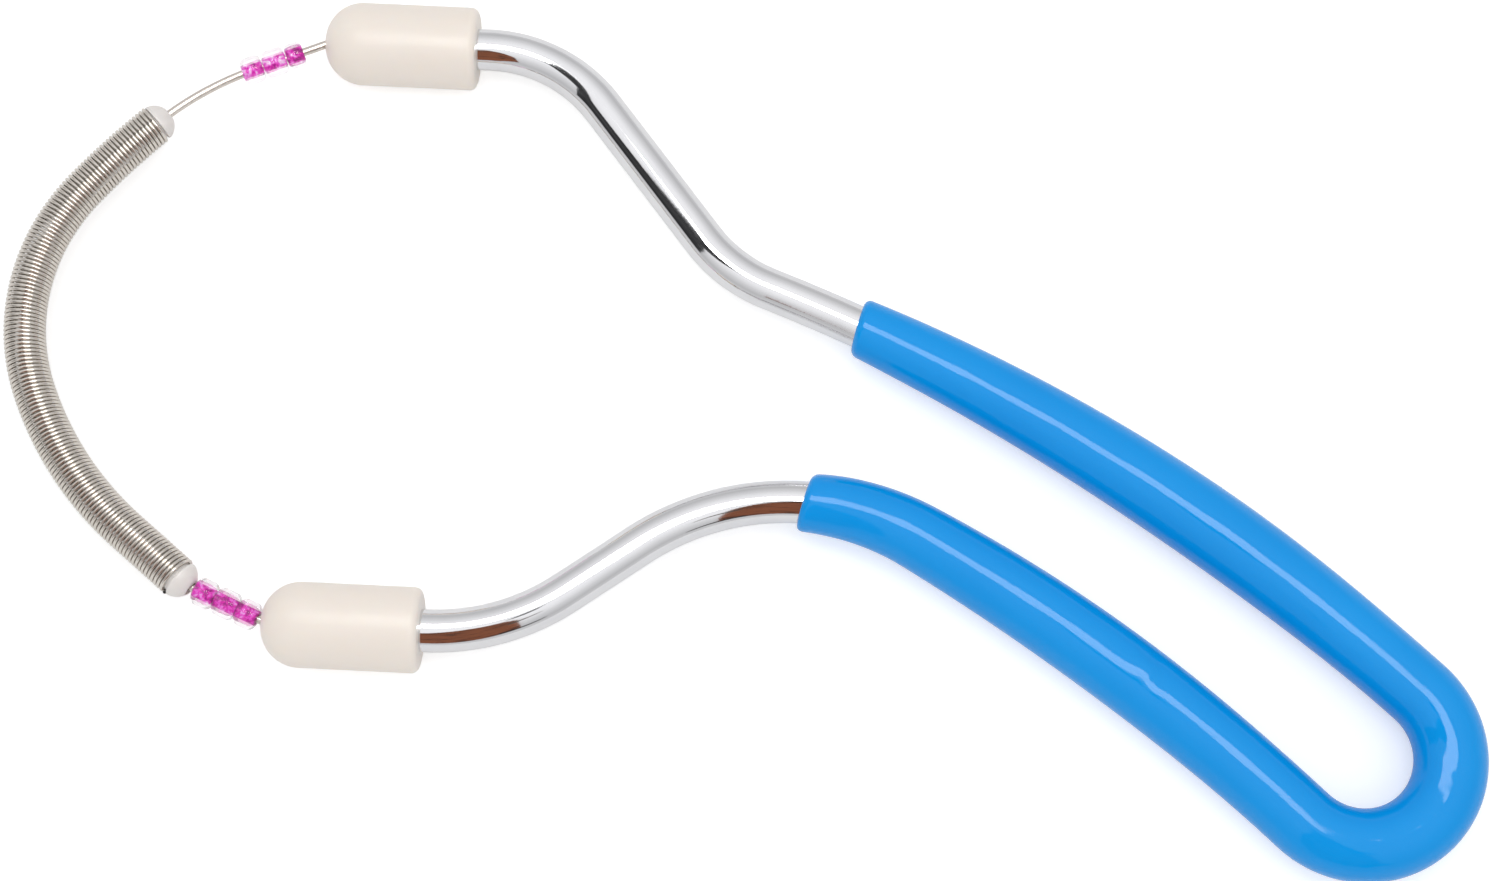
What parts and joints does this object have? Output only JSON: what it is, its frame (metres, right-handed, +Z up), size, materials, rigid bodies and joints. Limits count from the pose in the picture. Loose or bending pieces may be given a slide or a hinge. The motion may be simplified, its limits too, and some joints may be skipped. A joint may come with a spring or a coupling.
{
  "type": "facial hair removal spring",
  "caption": "Hand-held bent spring on a rod frame with a looped dipped grip; rolled over the skin, its coil plucks fine hairs between its turns.",
  "frame": {"origin": "middle of the outline, on the surface that the object lies on", "axes": "+X from the coil to the closed end of the grip, +Y across to the upper cap, +Z up"},
  "size_m": [0.1757, 0.1006, 0.01],
  "materials": {
    "rod_steel": "polished",
    "grip_vinyl": "gloss",
    "cap_plastic": "satin gloss",
    "wire_steel": "bright drawn",
    "coil_steel": "bright",
    "plug_nylon": "milky",
    "bead_glass": "clear with a coloured lining"
  },
  "bodies": {
    "frame": {"frame_rod": "rod_steel", "grip_sleeve": "grip_vinyl", "upper_end_cap": "cap_plastic", "lower_end_cap": "cap_plastic", "core_wire": "wire_steel", "upper_wire_crimp": "wire_steel", "lower_wire_crimp": "wire_steel", "coil_spring": "coil_steel", "upper_spring_plug": "plug_nylon", "lower_spring_plug": "plug_nylon"},
    "upper_bead_1": {"upper_bead_1": "bead_glass"},
    "upper_bead_2": {"upper_bead_2": "bead_glass"},
    "upper_bead_3": {"upper_bead_3": "bead_glass"},
    "lower_bead_1": {"lower_bead_1": "bead_glass"},
    "lower_bead_2": {"lower_bead_2": "bead_glass"},
    "lower_bead_3": {"lower_bead_3": "bead_glass"}
  },
  "joints": [
    {"name": "upper_bead_1_spin", "type": "hinge", "parent": "frame", "child": "upper_bead_1", "pos_m": [-0.05607, 0.04345, 0.005], "axis": [-0.9164, -0.4003, 0], "continuous": true},
    {"name": "upper_bead_2_spin", "type": "hinge", "parent": "frame", "child": "upper_bead_2", "pos_m": [-0.05846, 0.0424, 0.005], "axis": [-0.9164, -0.4003, 0], "continuous": true},
    {"name": "upper_bead_3_spin", "type": "hinge", "parent": "frame", "child": "upper_bead_3", "pos_m": [-0.06103, 0.04128, 0.005], "axis": [-0.9129, -0.4082, 0], "continuous": true},
    {"name": "lower_bead_1_spin", "type": "hinge", "parent": "frame", "child": "lower_bead_1", "pos_m": [-0.05556, -0.02567, 0.005], "axis": [0.9219, -0.3875, 0], "continuous": true},
    {"name": "lower_bead_2_spin", "type": "hinge", "parent": "frame", "child": "lower_bead_2", "pos_m": [-0.05815, -0.02458, 0.005], "axis": [0.9219, -0.3875, 0], "continuous": true},
    {"name": "lower_bead_3_spin", "type": "hinge", "parent": "frame", "child": "lower_bead_3", "pos_m": [-0.06074, -0.02349, 0.005], "axis": [0.9219, -0.3875, 0], "continuous": true}
  ]
}
